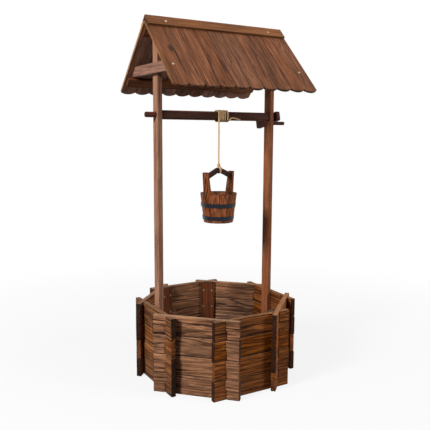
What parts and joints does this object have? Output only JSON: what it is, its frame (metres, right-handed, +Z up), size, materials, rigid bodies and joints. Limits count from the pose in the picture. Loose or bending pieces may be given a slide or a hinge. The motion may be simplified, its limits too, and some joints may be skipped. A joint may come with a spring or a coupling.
{
  "type": "wishing well planter",
  "caption": "Octagonal wooden garden planter in the form of a wishing well, with two posts, a gabled plank roof, and a crank windlass that lifts a small staved bucket on a rope.",
  "frame": {"origin": "on the ground, under the centre of the floor's middle bearer, on the octagon's axis", "axes": "+Z up; +X along the windlass and the ridge, towards the crank; -Y towards the front, where the rope hangs"},
  "size_m": [0.6948, 0.6143, 1.3459],
  "materials": {
    "wall_wood": "brushed softwood, scorched brown, thin clear oil, dark grain lines",
    "batten_wood": "sawn softwood, scorched brown, matte",
    "floor_wood": "sawn softwood, scorched brown, matte",
    "post_wood": "planed softwood, scorched brown, satin oil",
    "plank_wood": "brushed softwood, scorched brown, dark grain lines, pale cut edges",
    "purlin_wood": "sawn softwood, dark brown, matte",
    "tie_wood": "planed softwood, pale pinkish brown, satin",
    "cap_wood": "planed softwood, warm light brown, satin",
    "bar_wood": "planed softwood, scorched nearly black, satin",
    "arm_wood": "planed softwood, scorched dark brown, satin",
    "grip_wood": "turned dowel, dark brown, worn smooth",
    "rope": "laid natural fibre rope of three strands, a few loose fibres",
    "stave_wood": "smooth softwood, orange brown, satin varnish",
    "ear_wood": "smooth softwood, dark brown, satin varnish",
    "yoke_wood": "smooth softwood, very dark brown, satin varnish",
    "hoop_steel": "flat steel band, blue-black paint, half gloss"
  },
  "bodies": {
    "frame": {"wall_right": "wall_wood", "wall_back_right": "wall_wood", "wall_back": "wall_wood", "wall_back_left": "wall_wood", "wall_left": "wall_wood", "wall_front_left": "wall_wood", "wall_front": "wall_wood", "wall_front_right": "wall_wood", "corner_batten_1": "batten_wood", "corner_batten_2": "batten_wood", "corner_batten_3": "batten_wood", "corner_batten_4": "batten_wood", "floor_frame": "floor_wood", "post_left": "post_wood", "tie_beam_left": "tie_wood", "post_right": "post_wood", "tie_beam_right": "tie_wood", "ridge_cap_front": "cap_wood", "ridge_purlin_front": "purlin_wood", "eave_purlin_front": "purlin_wood", "plank_front_01": "plank_wood", "plank_front_02": "plank_wood", "plank_front_03": "plank_wood", "plank_front_04": "plank_wood", "plank_front_05": "plank_wood", "plank_front_06": "plank_wood", "plank_front_07": "plank_wood", "plank_front_08": "plank_wood", "plank_front_09": "plank_wood", "plank_front_10": "plank_wood", "ridge_cap_back": "cap_wood", "ridge_purlin_back": "purlin_wood", "eave_purlin_back": "purlin_wood", "plank_back_01": "plank_wood", "plank_back_02": "plank_wood", "plank_back_03": "plank_wood", "plank_back_04": "plank_wood", "plank_back_05": "plank_wood", "plank_back_06": "plank_wood", "plank_back_07": "plank_wood", "plank_back_08": "plank_wood", "plank_back_09": "plank_wood", "plank_back_10": "plank_wood"},
    "windlass": {"windlass_bar": "bar_wood", "crank_arm": "arm_wood", "crank_handle": "grip_wood", "rope_winding": "rope"},
    "rope": {"rope_drop": "rope"},
    "knot": {"rope_knot": "rope"},
    "bucket": {"bucket_body": "stave_wood", "bucket_ear_left": "ear_wood", "bucket_ear_right": "ear_wood", "bucket_hoop_upper": "hoop_steel", "bucket_hoop_lower": "hoop_steel", "bucket_handle": "yoke_wood", "rope_loop": "rope"}
  },
  "joints": [
    {"name": "windlass_turn", "type": "hinge", "parent": "frame", "child": "windlass", "pos_m": [0, 0, 1.0015], "axis": [-1, 0, 0], "range_deg": [-1560, 286]},
    {"name": "rope_swing", "type": "hinge", "parent": "frame", "child": "rope", "pos_m": [0.0003, -0.0198, 1.0015], "axis": [1, 0, 0], "range_deg": [-8, 8]},
    {"name": "bucket_lift", "type": "slide", "parent": "rope", "child": "knot", "axis": [0, 0, 1], "range_m": [-0.542, 0.1], "deforming": ["rope_drop"]},
    {"name": "bucket_twist", "type": "hinge", "parent": "knot", "child": "bucket", "pos_m": [0.0003, -0.0198, 0.809], "axis": [0, 0, 1], "range_deg": [-180, 180]}
  ],
  "couplings": [
    {"joint": "bucket_lift", "follows": "windlass_turn", "m_per_rad": 0.0198}
  ]
}
